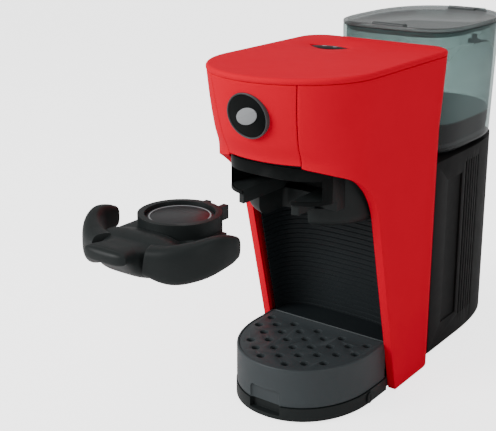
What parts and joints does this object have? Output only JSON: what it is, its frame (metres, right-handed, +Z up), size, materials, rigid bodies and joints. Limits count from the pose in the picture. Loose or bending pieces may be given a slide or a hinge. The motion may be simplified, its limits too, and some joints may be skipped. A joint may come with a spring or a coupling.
{
  "type": "pod coffee machine",
  "caption": "Compact capsule coffee machine with red shell, slide-in pod holder, drip tray with perforated grid, lift-off smoked water tank with hinged lid, and a push button on top.",
  "frame": {"origin": "on the table, midway between the side panels, 68 mm in front of the red body's rear face", "axes": "+Z up, -Y towards the front of the machine, where the cup stands; +X to the right when seen from the front"},
  "size_m": [0.126, 0.4665, 0.2674],
  "materials": {
    "red_shell": "glossy moulded red plastic with a fine orange peel",
    "black_plastic": "fine-grained black moulded plastic, satin",
    "gloss_black": "polished black plastic",
    "grid_plastic": "dark grey-black moulded plastic, satin",
    "grey_trim": "light grey satin plastic trim",
    "black_rubber": "matt black rubber",
    "plated_steel": "zinc plated steel",
    "smoked_clear": "smoked blue-green transparent plastic",
    "smoked_lid": "dark smoked plastic",
    "white_plastic": "off-white engineering plastic",
    "cast_alloy": "cast aluminium alloy, as cast",
    "pod_plastic": "black thin-walled plastic",
    "pod_foil": "black lacquered foil",
    "clear_hose": "milky silicone",
    "board_green": "green solder mask",
    "wire_red": "red PVC insulation"
  },
  "bodies": {
    "root": {"base_frame": "black_plastic", "feet": "black_rubber", "base_screws": "plated_steel", "side_lugs": "black_plastic", "side_panel_left": "red_shell", "side_panel_right": "red_shell", "front_fascia": "red_shell", "top_cover": "red_shell", "badge_disc": "gloss_black", "badge_ring": "grey_trim", "badge_bean": "grey_trim", "button_carrier": "black_plastic", "button_switch": "black_plastic", "button_spring": "plated_steel", "head_floor": "black_plastic", "brew_housing": "black_plastic", "slot_frame": "gloss_black", "brew_casing": "black_plastic", "bay_wall": "black_plastic", "bulkhead": "black_plastic", "rear_housing": "black_plastic", "rear_vent": "black_plastic", "cord_gland": "black_plastic", "tank_seat": "black_plastic", "tank_seal": "black_rubber", "piston_bridge": "black_plastic", "piston_spring": "plated_steel", "thermoblock": "cast_alloy", "thermostat": "white_plastic", "brew_pipe": "clear_hose", "water_pump": "white_plastic", "pump_mounts": "black_rubber", "flow_meter": "white_plastic", "suction_hose": "clear_hose", "pressure_hose": "clear_hose", "control_board": "board_green", "wiring": "wire_red"},
    "holder": {"holder_body": "black_plastic", "holder_grip": "black_plastic", "holder_spout": "black_plastic", "coffee_pod": "pod_plastic", "pod_foil": "pod_foil"},
    "tray": {"drip_tray": "black_plastic"},
    "grid": {"drip_grid": "grid_plastic"},
    "tank": {"water_tank": "smoked_clear", "tank_float": "black_plastic", "hinge_pin": "plated_steel"},
    "lid": {"tank_lid": "smoked_lid"},
    "valve": {"tank_valve": "white_plastic"},
    "button": {"power_button": "gloss_black"},
    "piston": {"brew_piston": "plated_steel", "piston_nut": "plated_steel", "piston_seal": "black_rubber"}
  },
  "joints": [
    {"name": "holder_slide", "type": "slide", "parent": "root", "child": "holder", "axis": [0, 1, 0], "range_m": [0, 0.112]},
    {"name": "tray_slide", "type": "slide", "parent": "root", "child": "tray", "axis": [0, -1, 0], "range_m": [0, 0.09]},
    {"name": "grid_lift", "type": "slide", "parent": "tray", "child": "grid", "axis": [0, 0, 1], "range_m": [0, 0.05]},
    {"name": "tank_lift", "type": "slide", "parent": "root", "child": "tank", "axis": [0, 0, 1], "range_m": [0, 0.12]},
    {"name": "lid_hinge", "type": "hinge", "parent": "tank", "child": "lid", "pos_m": [0, 0.2175, 0.2624], "axis": [-1, 0, 0], "range_deg": [0, 95]},
    {"name": "valve_lift", "type": "slide", "parent": "tank", "child": "valve", "axis": [0, 0, 1], "range_m": [0, 0.0025]},
    {"name": "button_press", "type": "slide", "parent": "root", "child": "button", "axis": [0, 0, -1], "range_m": [0, 0.0015], "stiffness_N_per_m": 1200, "springref_m": -0.001, "deforming": ["button_spring"]},
    {"name": "piston_press", "type": "slide", "parent": "root", "child": "piston", "axis": [0, 0, -1], "range_m": [0, 0.003], "stiffness_N_per_m": 3000, "springref_m": -0.001, "deforming": ["piston_spring"]}
  ]
}
